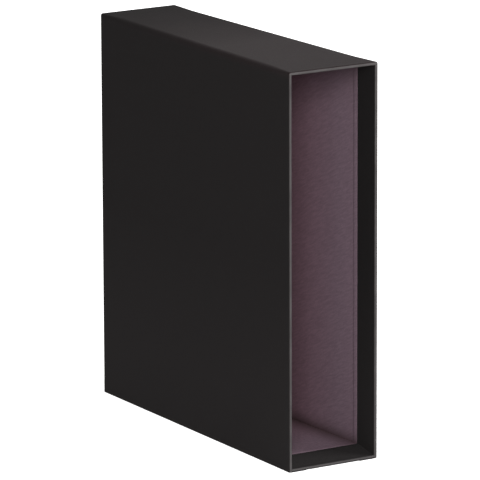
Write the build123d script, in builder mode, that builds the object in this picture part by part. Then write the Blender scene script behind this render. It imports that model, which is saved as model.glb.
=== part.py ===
from build123d import *
import os

# A wedge-shaped board slipcase for one upright ring binder: it stands on its base with the
# mouth towards -Y, the near side towards -X and +Z up, and it narrows evenly from the mouth to
# the back. Millimetres, from the middle of its footprint. Across the sides, thicknesses and
# insets are measured along X.

# Outside of the case
case_mouth_width = 85.0
case_back_width = 74.0
case_depth = 304.0
case_height = 330.0

# Thickness of the boards and papers
wall_board = 2.2
inner_floor = 4.0
cover_paper = 0.35
lining_paper = 0.2
stay_paper = 0.15

# Rounding of the two long top folds, and of paper turned over a square edge
fold_radius = 5.0
nose_radius = 0.5

# Paper turned in at the mouth, and the bevel that leads the binder up onto the inner floor
turn_in = 29.0
lining_lap = 4.0
bevel_setback = 3.0
bevel_margin = 3.0

# Flaps turned onto the back and base, the sheets laid over them, and the corner stays
flap = 16.0
sheet_inset = 1.5
stay_leg = 12.0
stay_gap = 1.0

# How far each side comes in towards the middle for each millimetre of depth
side_slope = (case_mouth_width - case_back_width) / 2 / case_depth

# Insets from the outside of a side to its board, to the bay, and to paper turned into the bay
board_inset = cover_paper
bay_inset = board_inset + wall_board
turned_inset = bay_inset + cover_paper

# Outside planes of the boards, one paper in from the case and two at the base and the back
mouth_y = -case_depth / 2
back_y = case_depth / 2
board_front_y = mouth_y + cover_paper
board_back_y = back_y - 2 * cover_paper
board_low_z = 2 * cover_paper
board_high_z = case_height - cover_paper

# Inside planes of the boards, then of the paper turned in at the mouth
bay_back_y = board_back_y - wall_board
bay_low_z = board_low_z + wall_board
bay_high_z = board_high_z - wall_board
floor_z = bay_low_z + inner_floor
mouth_high_z = bay_high_z - cover_paper
sill_z = bay_low_z + cover_paper
lining_back_y = bay_back_y - lining_paper

# Places along the depth, counted in from the mouth
turn_in_y = mouth_y + turn_in
lining_front_y = turn_in_y - lining_lap
bevel_low_y = mouth_y + bevel_setback
bevel_high_y = lining_front_y - bevel_margin

# Edges of the flaps, and of the sheet that hides the ones on the back
flap_y = back_y - flap
flap_z = case_height - flap
back_flap_x = case_back_width / 2 - flap
back_sheet_x = case_back_width / 2 - sheet_inset

# The side and top boards are rounded over together, and the cover follows them
board_fold_radius = fold_radius - cover_paper

# How far a stay is sketched into the boards, which are then cut out of it
stay_bite = 0.95 * wall_board

board_front_plane = Plane.XZ.offset(-board_front_y)
board_depth = board_back_y - board_front_y


def half_width_at(y, inset=0.0):
    """Half the case's width at one place along the depth, less an inset."""
    return case_mouth_width / 2 - side_slope * (y - mouth_y) - inset


def side_run(out_x, depth):
    """The way along one slanted side that covers a stretch of the depth."""
    return Vector(-out_x * side_slope * depth, depth, 0)


def plan_between(front_y, rear_y, inset=0.0, mode=Mode.ADD):
    """Sketch the plan of what fills the case from side to side, less an inset at each."""
    front_x = half_width_at(front_y, inset)
    rear_x = half_width_at(rear_y, inset)
    Polygon(
        (-front_x, front_y),
        (front_x, front_y),
        (rear_x, rear_y),
        (-rear_x, rear_y),
        align=None,
        mode=mode,
    )


def plan_beside(out_x):
    """Sketch the plan of everything on one side of the bay, out past the case."""
    Polygon(
        (out_x * half_width_at(mouth_y, bay_inset), mouth_y),
        (out_x * case_mouth_width, mouth_y),
        (out_x * case_mouth_width, back_y),
        (out_x * half_width_at(back_y, bay_inset), back_y),
        align=None,
    )


def rectangle_between(low, high, mode=Mode.ADD):
    """Sketch a rectangle between two corners given in the sketch's own plane."""
    with Locations(((low[0] + high[0]) / 2, (low[1] + high[1]) / 2)):
        Rectangle(high[0] - low[0], high[1] - low[1], mode=mode)


def stay_profile(corner, outward, outer_radius=0.0, lean=0.0):
    """Sketch the two legs of a corner stay, from its outer faces to inside the boards' corner.

    lean is how far the second leg shifts across for each millimetre along, on a slanted side.
    """
    across, along = corner
    out_across, out_along = outward
    outer_across = across + out_across * stay_paper
    outer_along = along + out_along * stay_paper
    inner_across = across - out_across * stay_bite
    inner_along = along - out_along * stay_bite
    leg_across = across - out_across * stay_leg
    leg_along = along - out_along * stay_leg
    Polygon(
        (leg_across, inner_along),
        (inner_across, inner_along),
        (inner_across + lean * (leg_along - along), leg_along),
        (outer_across + lean * (leg_along - along), leg_along),
        (outer_across + lean * (outer_along - along), outer_along),
        (leg_across, outer_along),
        align=None,
    )
    if outer_radius > 0:
        fillet(vertices().sort_by_distance((outer_across, outer_along))[0], outer_radius)


def lining_outline():
    """Corners of a lining's section, from its lap over the turn-in to the back of the bay.

    Each corner is its place along the depth and its height off the board.
    """
    return (
        (turn_in_y, 0.0),
        (lining_back_y, 0.0),
        (lining_back_y, lining_paper),
        (turn_in_y + lining_paper, lining_paper),
        (turn_in_y + lining_paper, cover_paper + lining_paper),
        (lining_front_y, cover_paper + lining_paper),
        (lining_front_y, cover_paper),
        (turn_in_y, cover_paper),
    )


os.makedirs("parts", exist_ok=True)
boards = []
stays = []

# Outline of the side, top and bottom boards together, rounded along its two long top edges
with BuildPart() as board_outline:
    with BuildSketch(Plane.XY.offset(board_low_z)):
        plan_between(board_front_y, board_back_y, board_inset)
    extrude(amount=board_high_z - board_low_z)
    for out_x in (-1, 1):
        fold_middle = (out_x * half_width_at(0, board_inset), 0, board_high_z)
        fillet(edges().sort_by_distance(fold_middle)[0], board_fold_radius)

# Side boards, the whole height and depth
for side, out_x in (("near", -1), ("far", 1)):
    with BuildPart() as side_board:
        add(board_outline.part)
        with BuildSketch(Plane.XY):
            plan_beside(out_x)
        extrude(amount=case_height, mode=Mode.INTERSECT)
    side_board.part.label = f"{side}_side_board"
    export_step(side_board.part, f"parts/{side}_side_board.step")
    boards.append(side_board.part)

# Top and bottom boards, between the side boards
for level, low_z, high_z in (("top", bay_high_z, case_height), ("bottom", 0, bay_low_z)):
    with BuildPart() as level_board:
        add(board_outline.part)
        with BuildSketch(Plane.XY.offset(low_z)):
            plan_between(mouth_y, back_y, bay_inset)
        extrude(amount=high_z - low_z, mode=Mode.INTERSECT)
    level_board.part.label = f"{level}_board"
    export_step(level_board.part, f"parts/{level}_board.step")
    boards.append(level_board.part)

# Back board, between the four others
with BuildPart() as back_board:
    with BuildSketch(Plane.XY.offset(bay_low_z)):
        plan_between(bay_back_y, board_back_y, bay_inset)
    extrude(amount=bay_high_z - bay_low_z)
back_board.part.label = "back_board"
export_step(back_board.part, "parts/back_board.step")
boards.append(back_board.part)

# Inner floor, a second board on the bottom one, bevelled down towards the mouth
with BuildPart() as inner_floor_board:
    with BuildSketch(Plane.YZ):
        with BuildLine():
            Polyline(
                (bevel_low_y, bay_low_z),
                (bevel_high_y, floor_z),
                (bay_back_y, floor_z),
                (bay_back_y, bay_low_z),
                close=True,
            )
        make_face()
    extrude(amount=case_mouth_width / 2, both=True)
    with BuildSketch(Plane.XY.offset(bay_low_z)):
        plan_between(bevel_low_y, bay_back_y, bay_inset)
    extrude(amount=inner_floor, mode=Mode.INTERSECT)
inner_floor_board.part.label = "inner_floor_board"
export_step(inner_floor_board.part, "parts/inner_floor_board.step")
boards.append(inner_floor_board.part)

# Stays along the depth, taped over the joints of the sides with the top and bottom
for side, out_x in (("near", -1), ("far", 1)):
    for level, out_z, level_z, outer_radius in (
        ("top", 1, board_high_z, board_fold_radius + stay_paper),
        ("bottom", -1, board_low_z, 0.0),
    ):
        with BuildPart() as depth_stay:
            with BuildSketch(board_front_plane.offset(-stay_gap)):
                corner_x = out_x * half_width_at(board_front_y + stay_gap, board_inset)
                stay_profile((corner_x, level_z), (out_x, out_z), outer_radius)
            run = side_run(out_x, board_depth - 2 * stay_gap)
            extrude(amount=run.length, dir=run)
            add(boards, mode=Mode.SUBTRACT)
        depth_stay.part.label = f"{level}_{side}_stay"
        export_step(depth_stay.part, f"parts/{level}_{side}_stay.step")
        stays.append(depth_stay.part)

# Stays up the two back corners, between the legs of the ones along the depth
for side, out_x in (("near", -1), ("far", 1)):
    with BuildPart() as upright_stay:
        with BuildSketch(Plane.XY.offset(board_low_z + stay_leg + stay_gap)):
            corner_x = out_x * half_width_at(board_back_y, board_inset)
            stay_profile((corner_x, board_back_y), (out_x, 1), lean=-out_x * side_slope)
        extrude(amount=board_high_z - board_low_z - 2 * (stay_leg + stay_gap))
        add(boards, mode=Mode.SUBTRACT)
    upright_stay.part.label = f"back_{side}_stay"
    export_step(upright_stay.part, f"parts/back_{side}_stay.step")
    stays.append(upright_stay.part)

# Stays across the back, over its joints with the top and bottom
for level, out_z, level_z in (("top", 1, board_high_z), ("bottom", -1, board_low_z)):
    with BuildPart() as cross_stay:
        with BuildSketch(Plane.YZ):
            stay_profile((board_back_y, level_z), (1, out_z))
        half_length = half_width_at(board_back_y, board_inset) - stay_leg - stay_gap
        extrude(amount=half_length, both=True)
        add(boards, mode=Mode.SUBTRACT)
    cross_stay.part.label = f"back_{level}_stay"
    export_step(cross_stay.part, f"parts/back_{level}_stay.step")
    stays.append(cross_stay.part)

# Base cover: the lowest sheet, over the flaps on the base, round the sill and up the bevel
with BuildPart() as base_cover:
    with BuildSketch(Plane.YZ):
        with BuildLine():
            Polyline(
                (mouth_y, cover_paper),
                (mouth_y, sill_z),
                (bevel_low_y, sill_z),
                (bevel_high_y, floor_z + cover_paper),
                (turn_in_y, floor_z + cover_paper),
                (turn_in_y, floor_z),
                (bevel_high_y, floor_z),
                (bevel_low_y, bay_low_z),
                (board_front_y, bay_low_z),
                (board_front_y, cover_paper),
                close=True,
            )
        make_face()
        fillet(vertices().sort_by_distance((mouth_y, sill_z))[0], nose_radius)
    extrude(amount=case_mouth_width / 2, both=True)
    with BuildSketch(Plane.XY):
        plan_between(mouth_y, turn_in_y, turned_inset)
    extrude(amount=floor_z + cover_paper, mode=Mode.INTERSECT)
    with BuildSketch(Plane.XY.offset(cover_paper)):
        plan_between(mouth_y, flap_y, flap)
    extrude(amount=cover_paper)
    with BuildSketch(Plane.XY):
        plan_between(mouth_y + sheet_inset, back_y - cover_paper - sheet_inset, sheet_inset)
        plan_between(mouth_y, mouth_y + sheet_inset, turned_inset)
        plan_between(mouth_y, flap_y - cover_paper, flap + cover_paper, mode=Mode.SUBTRACT)
    extrude(amount=cover_paper)
base_cover.part.label = "base_cover"
export_step(base_cover.part, "parts/base_cover.step")

# Back cover: a sheet over the flaps on the back, with its middle turned under the base
with BuildPart() as back_cover:
    with BuildSketch(Plane.YZ):
        with BuildLine():
            Polyline(
                (flap_y, cover_paper),
                (back_y - cover_paper, cover_paper),
                (back_y - cover_paper, flap_z),
                (board_back_y, flap_z),
                (board_back_y, board_low_z),
                (flap_y, board_low_z),
                close=True,
            )
        make_face()
        fillet(vertices().sort_by_distance((back_y - cover_paper, cover_paper))[0], nose_radius)
    extrude(amount=case_mouth_width / 2, both=True)
    with BuildSketch(Plane.XY.offset(cover_paper)):
        plan_between(flap_y, back_y, flap)
    extrude(amount=flap_z - cover_paper, mode=Mode.INTERSECT)
    with BuildSketch(Plane.XZ.offset(cover_paper - back_y)):
        rectangle_between(
            (-back_sheet_x, cover_paper + sheet_inset),
            (back_sheet_x, case_height - sheet_inset),
        )
        rectangle_between(
            (cover_paper - back_flap_x, cover_paper),
            (back_flap_x - cover_paper, flap_z - cover_paper),
            mode=Mode.SUBTRACT,
        )
    extrude(amount=-cover_paper)
    add(stays, mode=Mode.SUBTRACT)
back_cover.part.label = "back_cover"
export_step(back_cover.part, "parts/back_cover.step")

# Cover wrap: one sheet up the near side, over the top and down the far side, turned in at
# the mouth and turned onto the back and base in flaps
with BuildPart() as cover_wrap:
    with BuildSketch(Plane.XY.offset(cover_paper)):
        plan_between(mouth_y, back_y - cover_paper)
    extrude(amount=case_height - cover_paper)
    for edge_z, radius in ((case_height, fold_radius), (cover_paper, nose_radius)):
        for out_x in (-1, 1):
            fillet(edges().sort_by_distance((out_x * half_width_at(0), 0, edge_z))[0], radius)
    with BuildSketch(Plane.XY.offset(cover_paper)):
        plan_between(mouth_y, turn_in_y, turned_inset)
    extrude(amount=mouth_high_z - cover_paper, mode=Mode.SUBTRACT)
    with BuildSketch(Plane.XY.offset(cover_paper)):
        plan_between(turn_in_y, bay_back_y, bay_inset)
    extrude(amount=bay_high_z - cover_paper, mode=Mode.SUBTRACT)
    fillet(faces().sort_by(Axis.Y)[0].edges() + faces().sort_by(Axis.Y)[-1].edges(), nose_radius)
    with BuildSketch(Plane.XY.offset(cover_paper)):
        plan_between(board_front_y, bay_back_y, bay_inset)
    extrude(amount=cover_paper)
    with BuildSketch(Plane.XY.offset(cover_paper)):
        plan_between(mouth_y, back_y, flap)
    extrude(amount=cover_paper, mode=Mode.SUBTRACT)
    with BuildSketch(Plane.XY.offset(cover_paper)):
        plan_between(board_back_y, back_y, flap)
    extrude(amount=flap_z - cover_paper, mode=Mode.SUBTRACT)
    add(boards + stays, mode=Mode.SUBTRACT)
cover_wrap.part.label = "cover_wrap"
export_step(cover_wrap.part, "parts/cover_wrap.step")

# Side linings, sketched from above, between the laps of the floor and ceiling linings
lining_high_z = mouth_high_z - lining_paper
lining_low_z = floor_z + cover_paper + lining_paper
for side, out_x in (("near", -1), ("far", 1)):
    with BuildPart() as side_lining:
        with BuildSketch(Plane.XY.offset(lining_low_z)):
            Polygon(
                *((out_x * half_width_at(y, bay_inset + raised), y) for y, raised in lining_outline()),
                align=None,
            )
        extrude(amount=lining_high_z - lining_low_z)
    side_lining.part.label = f"{side}_side_lining"
    export_step(side_lining.part, f"parts/{side}_side_lining.step")

# Ceiling and floor linings, cut to the width between the turned-in papers
for level, wall_z, inward_z in (("ceiling", bay_high_z, -1), ("floor", floor_z, 1)):
    with BuildPart() as level_lining:
        with BuildSketch(Plane.YZ):
            Polygon(*((y, wall_z + inward_z * raised) for y, raised in lining_outline()), align=None)
        extrude(amount=case_mouth_width / 2, both=True)
        with BuildSketch(Plane.XY.offset(floor_z)):
            plan_between(lining_front_y, lining_back_y, turned_inset)
        extrude(amount=bay_high_z - floor_z, mode=Mode.INTERSECT)
    level_lining.part.label = f"{level}_lining"
    export_step(level_lining.part, f"parts/{level}_lining.step")

# Back lining, flat on the back board
with BuildPart() as back_lining:
    with BuildSketch(Plane.XY.offset(floor_z)):
        plan_between(lining_back_y, bay_back_y, bay_inset)
    extrude(amount=bay_high_z - floor_z)
back_lining.part.label = "back_lining"
export_step(back_lining.part, "parts/back_lining.step")
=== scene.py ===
"""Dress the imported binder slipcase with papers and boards, and set it up in a plain studio."""

import logging
import math
from abc import ABC, abstractmethod
from collections.abc import Callable
from dataclasses import dataclass, field
from enum import Enum
from functools import reduce

import bmesh
import bpy
from mathutils import Matrix, Vector


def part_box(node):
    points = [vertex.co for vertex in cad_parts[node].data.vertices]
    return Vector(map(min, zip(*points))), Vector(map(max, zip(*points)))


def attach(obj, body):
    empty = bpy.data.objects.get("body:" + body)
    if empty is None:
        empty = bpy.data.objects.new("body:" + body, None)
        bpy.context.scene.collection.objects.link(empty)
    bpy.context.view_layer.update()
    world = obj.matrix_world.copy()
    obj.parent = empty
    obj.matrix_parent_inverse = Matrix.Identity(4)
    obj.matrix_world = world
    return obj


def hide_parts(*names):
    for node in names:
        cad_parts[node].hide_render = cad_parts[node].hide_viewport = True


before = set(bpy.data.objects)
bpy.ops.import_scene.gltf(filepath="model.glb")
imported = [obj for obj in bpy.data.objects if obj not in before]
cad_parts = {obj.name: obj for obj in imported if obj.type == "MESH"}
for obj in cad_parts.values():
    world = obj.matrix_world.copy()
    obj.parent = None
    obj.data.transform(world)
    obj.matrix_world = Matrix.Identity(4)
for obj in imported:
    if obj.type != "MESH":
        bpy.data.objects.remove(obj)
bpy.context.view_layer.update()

LOG = logging.getLogger("slipcase")
BODY = "root"
# Mesh attribute for the highlight painted on the board ends, partly real rubbing
WORN_HIGHLIGHT = "worn_highlight"
# Mesh attribute for the shade painted in the lining's corners
CORNER_SHADE = "painted_shade"
THIRDS = (0.33, 0.66, 1.0)
QUARTERS = (0.25, 0.5, 0.75, 1.0)
LARGEST_EDGE_SHARE = 0.2
WAVE_LENGTH_AT_SCALE_1 = 0.314
ORIGIN = (0.0, 0.0, 0.0)
WHITE = (1.0, 1.0, 1.0)

Colour = tuple[float, float, float]
PlanePoint = tuple[float, float]
Socket = bpy.types.NodeSocket
Outputs = bpy.types.NodeOutputs
Inputs = bpy.types.NodeInputs


def from_srgb(red: float, green: float, blue: float) -> Colour:
    """Turn a colour written as 0 to 255 screen values into linear light.

    Args:
        red: Red, 0 to 255.
        green: Green, 0 to 255.
        blue: Blue, 0 to 255.

    Returns:
        The same colour in linear light.
    """

    def linear(value: float) -> float:
        """One channel in linear light, by the usual curve of a screen."""
        share = value / 255
        return share / 12.92 if share <= 0.04045 else ((share + 0.055) / 1.055) ** 2.4

    return linear(red), linear(green), linear(blue)


def opaque(colour: Colour, factor: float = 1.0) -> tuple[float, ...]:
    """A colour as a socket takes it, made lighter or darker by a factor."""
    return (*[channel * factor for channel in colour], 1.0)


def between(low: float, high: float, share: float) -> float:
    """The value at a share of the way from low to high."""
    return low + (high - low) * share


def soft_step(value: float, start: float, end: float) -> float:
    """Rise smoothly from 0 at start to 1 at end."""
    share = min(max((value - start) / (end - start), 0.0), 1.0)
    return share * share * (3 - 2 * share)


def band(value: float, start: float, end: float, fade: float) -> float:
    """1 between start and end, fading to 0 beyond them."""
    return soft_step(value, start - fade, start) * (1.0 - soft_step(value, end, end + fade))


# Sizes of the case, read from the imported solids


@dataclass(frozen=True)
class CasePlan:
    """The planes of the case in metres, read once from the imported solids."""

    mouth_y: float
    back_y: float
    wrap_low_z: float
    high_z: float
    paper: float
    lining: float
    wall: float
    bay_half_front: float
    bay_front_y: float
    slope: float
    bevel_low_y: float
    lining_front_y: float
    lining_back_y: float
    floor_z: float
    flap: float
    sheet_margin: float
    back_sheet_x: float
    lining_lap: float = 0.004
    bevel_margin: float = 0.003

    @classmethod
    def from_solids(cls) -> "CasePlan":
        """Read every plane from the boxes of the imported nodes.

        Returns:
            The plan.
        """
        wrap_low, wrap_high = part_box("cover_wrap")
        side_low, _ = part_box("near_side_board")
        top_low, top_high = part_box("top_board")
        back_low, back_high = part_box("back_board")
        floor_low, floor_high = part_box("inner_floor_board")
        sheet_low, sheet_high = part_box("back_cover")
        lining_low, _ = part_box("far_side_lining")
        back_lining_low, back_lining_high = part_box("back_lining")
        return cls(
            mouth_y=wrap_low.y,
            back_y=sheet_high.y,
            wrap_low_z=wrap_low.z,
            high_z=wrap_high.z,
            paper=side_low.y - wrap_low.y,
            lining=back_lining_high.y - back_lining_low.y,
            wall=top_high.z - top_low.z,
            bay_half_front=top_high.x,
            bay_front_y=top_low.y,
            slope=(top_high.x - back_high.x) / (back_low.y - top_low.y),
            bevel_low_y=floor_low.y,
            lining_front_y=lining_low.y,
            lining_back_y=back_lining_low.y,
            floor_z=floor_high.z,
            flap=sheet_high.y - sheet_low.y,
            sheet_margin=wrap_high.z - sheet_high.z,
            back_sheet_x=sheet_high.x,
        )

    @property
    def bay_inset(self) -> float:
        """From the outside of a side to the board's inner face."""
        return self.paper + self.wall

    @property
    def turned_inset(self) -> float:
        """From the outside of a side to the face of the paper turned into the bay."""
        return self.bay_inset + self.paper

    @property
    def turn_in_y(self) -> float:
        """Where the paper turned into the bay ends."""
        return self.lining_front_y + self.lining_lap

    @property
    def bevel_high_y(self) -> float:
        """Where the inner floor's bevel ends."""
        return self.lining_front_y - self.bevel_margin

    @property
    def wrap_back_y(self) -> float:
        """The outside of the wrap's flaps on the back."""
        return self.back_y - self.paper

    @property
    def bay_low_z(self) -> float:
        """The top of the bottom board."""
        return self.wrap_low_z + self.paper + self.wall

    @property
    def bay_high_z(self) -> float:
        """The underside of the top board."""
        return self.high_z - self.bay_inset

    def half_width(self, y: float, inset: float = 0.0) -> float:
        """Half the case's width at one place along the depth, less an inset."""
        return self.bay_half_front + self.bay_inset - self.slope * (y - self.bay_front_y) - inset


# Sheets of paper, built as a visible skin and a glued skin joined round their edges


def path_points(
    corners: list[PlanePoint], cuts: list[float], runs: list[list[float]], arc_steps: list[int]
) -> list[PlanePoint]:
    """Follow straight runs between corners, and round the corners softly.

    Args:
        corners: First point, the corners, and last point.
        cuts: How far from each inner corner its rounding starts, 0 for a sharp corner.
        runs: For each run, where its inner points lie, as shares of what is left of it.
        arc_steps: Number of steps round each inner corner.

    Returns:
        The points of the path, always as many for the same runs and steps.
    """
    points = [corners[0]]
    start = Vector(corners[0])
    for index in range(1, len(corners)):
        end = Vector(corners[index])
        way = (end - start).normalized()
        last = index == len(corners) - 1
        run_end = end if last else end - way * cuts[index - 1]
        points += [tuple(start.lerp(run_end, share)) for share in runs[index - 1]]
        points.append(tuple(run_end))
        if last:
            break
        onward = (Vector(corners[index + 1]) - end).normalized()
        start = end + onward * cuts[index - 1]
        for step in range(1, arc_steps[index - 1] + 1):
            share = step / arc_steps[index - 1]
            points.append(tuple(run_end.lerp(end, share).lerp(end.lerp(start, share), share)))
    return points


def shares(count: int, length: float, support: float) -> list[float]:
    """Even shares of a run, the outer ones so close to its ends that its flat face stays flat."""
    edge = min(support / length, LARGEST_EDGE_SHARE)
    return [between(edge, 1 - edge, step / count) for step in range(count + 1)]


@dataclass
class PaperSheet:
    """A sheet as rows of points on its visible skin and on its glued skin."""

    name: str
    skin: list[list[Vector]]
    glued: list[list[Vector]]
    # Share of highlight painted on each point of the visible skin, partly real rubbing
    highlight_share: list[list[float]]
    present: Callable[[int, int], bool]
    material: bpy.types.Material
    slot: str = "cover_paper"
    merge_distance: float = 2e-6
    crease_angle: float = math.radians(50)

    def cells(self) -> set[tuple[int, int]]:
        """Every cell of the grid that the sheet fills."""
        rows, columns = len(self.skin) - 1, len(self.skin[0]) - 1
        return {(r, c) for r in range(rows) for c in range(columns) if self.present(r, c)}

    def build(self) -> bpy.types.Object:
        """Build the closed sheet as a piece of the scene.

        Returns:
            The piece.
        """
        cells = self.cells()
        shape = bmesh.new()
        highlight_share = shape.verts.layers.float.new(WORN_HIGHLIGHT)
        corners: dict[tuple[int, int, bool], bmesh.types.BMVert] = {}

        def corner(row: int, column: int, visible: bool) -> bmesh.types.BMVert:
            """The vertex at one point of one skin.

            Args:
                row: The point's row.
                column: Its place in the row.
                visible: Whether it lies on the visible skin.

            Returns:
                The vertex, made when it is first asked for.
            """
            key = (row, column, visible)
            if key not in corners:
                rows = self.skin if visible else self.glued
                corners[key] = shape.verts.new(rows[row][column])
                corners[key][highlight_share] = self.highlight_share[row][column] if visible else 0.0
            return corners[key]

        for row, column in cells:
            ring = ((row, column), (row + 1, column), (row + 1, column + 1), (row, column + 1))
            beside = ((row, column - 1), (row + 1, column), (row, column + 1), (row - 1, column))
            shape.faces.new([corner(*point, True) for point in ring])
            shape.faces.new([corner(*point, False) for point in reversed(ring)])
            for step, neighbour in enumerate(beside):
                if neighbour not in cells:
                    first, second = ring[step], ring[(step + 1) % 4]
                    wall = ((*second, True), (*first, True), (*first, False), (*second, False))
                    shape.faces.new([corner(*point) for point in wall])
        bmesh.ops.remove_doubles(shape, verts=shape.verts, dist=self.merge_distance)
        bmesh.ops.dissolve_degenerate(shape, edges=shape.edges, dist=self.merge_distance)
        bmesh.ops.recalc_face_normals(shape, faces=shape.faces)
        mesh = bpy.data.meshes.new(self.name)
        shape.to_mesh(mesh)
        shape.free()
        return place_piece(self.name, mesh, self.material, self.crease_angle)


def face_outwards(mesh: bpy.types.Mesh) -> None:
    """Turn every face of a closed mesh outwards.

    Args:
        mesh: The mesh, which is changed.
    """
    shape = bmesh.new()
    shape.from_mesh(mesh)
    bmesh.ops.recalc_face_normals(shape, faces=shape.faces)
    shape.to_mesh(mesh)
    shape.free()


def place_piece(
    name: str, mesh: bpy.types.Mesh, material: bpy.types.Material, crease_angle: float
) -> bpy.types.Object:
    """Add a finished mesh to the scene as a piece of the case.

    Args:
        name: The piece's name.
        mesh: Its mesh, already in place.
        material: Its only material.
        crease_angle: Edges that bend more than this stay sharp.

    Returns:
        The new object, which rides on the case.
    """
    mesh.materials.clear()
    mesh.materials.append(material)
    mesh.shade_smooth()
    mesh.set_sharp_from_angle(angle=crease_angle)
    piece = bpy.data.objects.new(name, mesh)
    bpy.context.scene.collection.objects.link(piece)
    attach(piece, BODY)
    LOG.info("%s: %d faces", name, len(mesh.polygons))
    return piece


@dataclass
class CoverWrap:
    """The black sheet up the near side, over the top and down the far side."""

    plan: CasePlan
    material: bpy.types.Material
    fold_radius: float = 0.005
    end_fold_radius: float = 0.0022
    fold_settles: float = 0.035
    mouth_rounding: float = 0.0011
    back_rounding: float = 0.0006
    # Where the highlight is painted across the board ends at the mouth, partly real rubbing
    worn_highlight_from: float = 0.0008
    worn_highlight_to: float = 0.0025
    worn_highlight_fade: float = 0.0004
    support: float = 0.0006
    flush: float = 1e-7
    fold_steps: int = 12
    nose_steps: int = 6
    side_steps: int = 22
    top_steps: int = 8
    depth_steps: int = 22
    turned_steps: int = 5
    flap_steps: int = 2

    def fold_at(self, y: float) -> float:
        """The fold's rounding, crisper at both ends than in between."""
        from_end = min(y - self.plan.mouth_y, self.plan.wrap_back_y - y)
        return between(self.end_fold_radius, self.fold_radius, soft_step(from_end, 0.0, self.fold_settles))

    def base_fold_at(self, y: float) -> float:
        """The rounding along the base, crisp at the mouth so that no board shows there."""
        share = soft_step(y, self.plan.mouth_y, self.plan.mouth_y + self.fold_settles)
        return between(self.plan.paper, self.back_rounding, share)

    def section(self, y: float, inset: float, depth: float) -> list[Vector]:
        """Points from the near base flap, up and over, to the far base flap.

        Args:
            y: Place along the depth.
            inset: How far this section lies in from the outside of the case.
            depth: How far it lies under the sheet's visible skin.

        Returns:
            The points, the same number for every section.
        """
        plan = self.plan
        half = plan.half_width(y, inset)
        flap_x = plan.half_width(y, plan.flap)
        low, high = plan.wrap_low_z + depth, plan.high_z - inset
        fold = max(self.fold_at(y) - inset, 0.0)
        nose = max(self.base_fold_at(y) - depth, 0.0)
        flap_run = shares(self.flap_steps, plan.flap, self.support)
        side_run = shares(self.side_steps, plan.high_z, self.support)
        top_run = shares(self.top_steps, 2 * half, self.support)
        path = path_points(
            [(-flap_x, low), (-half, low), (-half, high), (half, high), (half, low), (flap_x, low)],
            [nose, fold, fold, nose],
            [flap_run, side_run, top_run, side_run, flap_run],
            [self.nose_steps, self.fold_steps, self.fold_steps, self.nose_steps],
        )
        floor = self.floor_under(y, inset, depth)
        return [Vector((x, y, max(z, floor))) for x, z in path]

    def floor_under(self, y: float, inset: float, depth: float) -> float:
        """The lowest that the sheet reaches at one place, which inside the bay is the floor boards.

        Args:
            y: Place along the depth.
            inset: How far the place lies in from the outside of the case.
            depth: How far it lies under the sheet's visible skin.

        Returns:
            The height.
        """
        plan = self.plan
        turned = inset > plan.bay_inset - plan.paper and y < plan.turn_in_y + plan.paper
        if not turned or y < plan.bay_front_y:
            return plan.wrap_low_z + depth
        climb = (y - plan.bevel_low_y) / (plan.bevel_high_y - plan.bevel_low_y)
        return between(plan.bay_low_z, plan.floor_z, min(max(climb, 0.0), 1.0))

    def profile(self, depth: float) -> list[PlanePoint]:
        """Follow the sheet from the edge turned into the bay, along the case, to the back flap's edge.

        Args:
            depth: How far the profile lies under the sheet's visible skin.

        Returns:
            Place along the depth of the case and inset of each point.
        """
        plan = self.plan
        nose = self.mouth_rounding - depth
        turned = plan.turn_in_y - plan.mouth_y
        return path_points(
            [
                (plan.turn_in_y, plan.turned_inset - depth),
                (plan.mouth_y + depth, plan.turned_inset - depth),
                (plan.mouth_y + depth, depth),
                (plan.wrap_back_y - depth, depth),
                (plan.wrap_back_y - depth, plan.flap),
            ],
            [nose, nose, self.back_rounding - depth],
            [
                shares(self.turned_steps, turned, self.support),
                [0.5],
                shares(self.depth_steps, plan.wrap_back_y - plan.mouth_y, self.support),
                shares(self.flap_steps, plan.flap, self.support),
            ],
            [self.nose_steps] * 3,
        )

    def worn_highlight_at(self, y: float, inset: float) -> float:
        """How much painted highlight, partly real rubbing, a point takes: fully along the middle of the
        board ends at the mouth.
        """
        front = 1.0 - soft_step(y, self.plan.mouth_y, self.plan.mouth_y + self.mouth_rounding)
        return front * band(inset, self.worn_highlight_from, self.worn_highlight_to, self.worn_highlight_fade)

    def build(self) -> bpy.types.Object:
        """Build the sheet and let it stand for its solid.

        Returns:
            The piece.
        """
        visible, glued = self.profile(0.0), self.profile(self.plan.paper)
        skin = [self.section(y, inset, 0.0) for y, inset in visible]
        under = [self.section(y, inset, self.plan.paper) for y, inset in glued]
        highlight_share = [[self.worn_highlight_at(y, inset)] * len(skin[0]) for y, inset in visible]
        outside = [index for index, (_, inset) in enumerate(visible) if inset < self.flush]
        # A straight run has two cells more than its steps, for the ones close to its ends
        flap_cells = self.flap_steps + 2
        base_cells = flap_cells + self.nose_steps
        last = len(skin[0]) - 2
        # The base flaps end a hair before the back flaps, so that no corner is shared
        front, rear = outside[0] - self.nose_steps, outside[-1] + self.nose_steps - 1

        def present(row: int, column: int) -> bool:
            """Whether the sheet fills a cell: it is notched where the base flaps would turn in.

            Args:
                row: The cell's row, from the edge turned into the bay to the back.
                column: Its column, from one base flap to the other.

            Returns:
                True where there is paper.
            """
            from_end = min(column, last - column)
            if from_end >= base_cells:
                return True
            if from_end >= flap_cells:
                return row >= front
            return front <= row < rear

        piece = PaperSheet("cover_wrap_sheet", skin, under, highlight_share, present, self.material).build()
        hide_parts("cover_wrap")
        return piece


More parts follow.
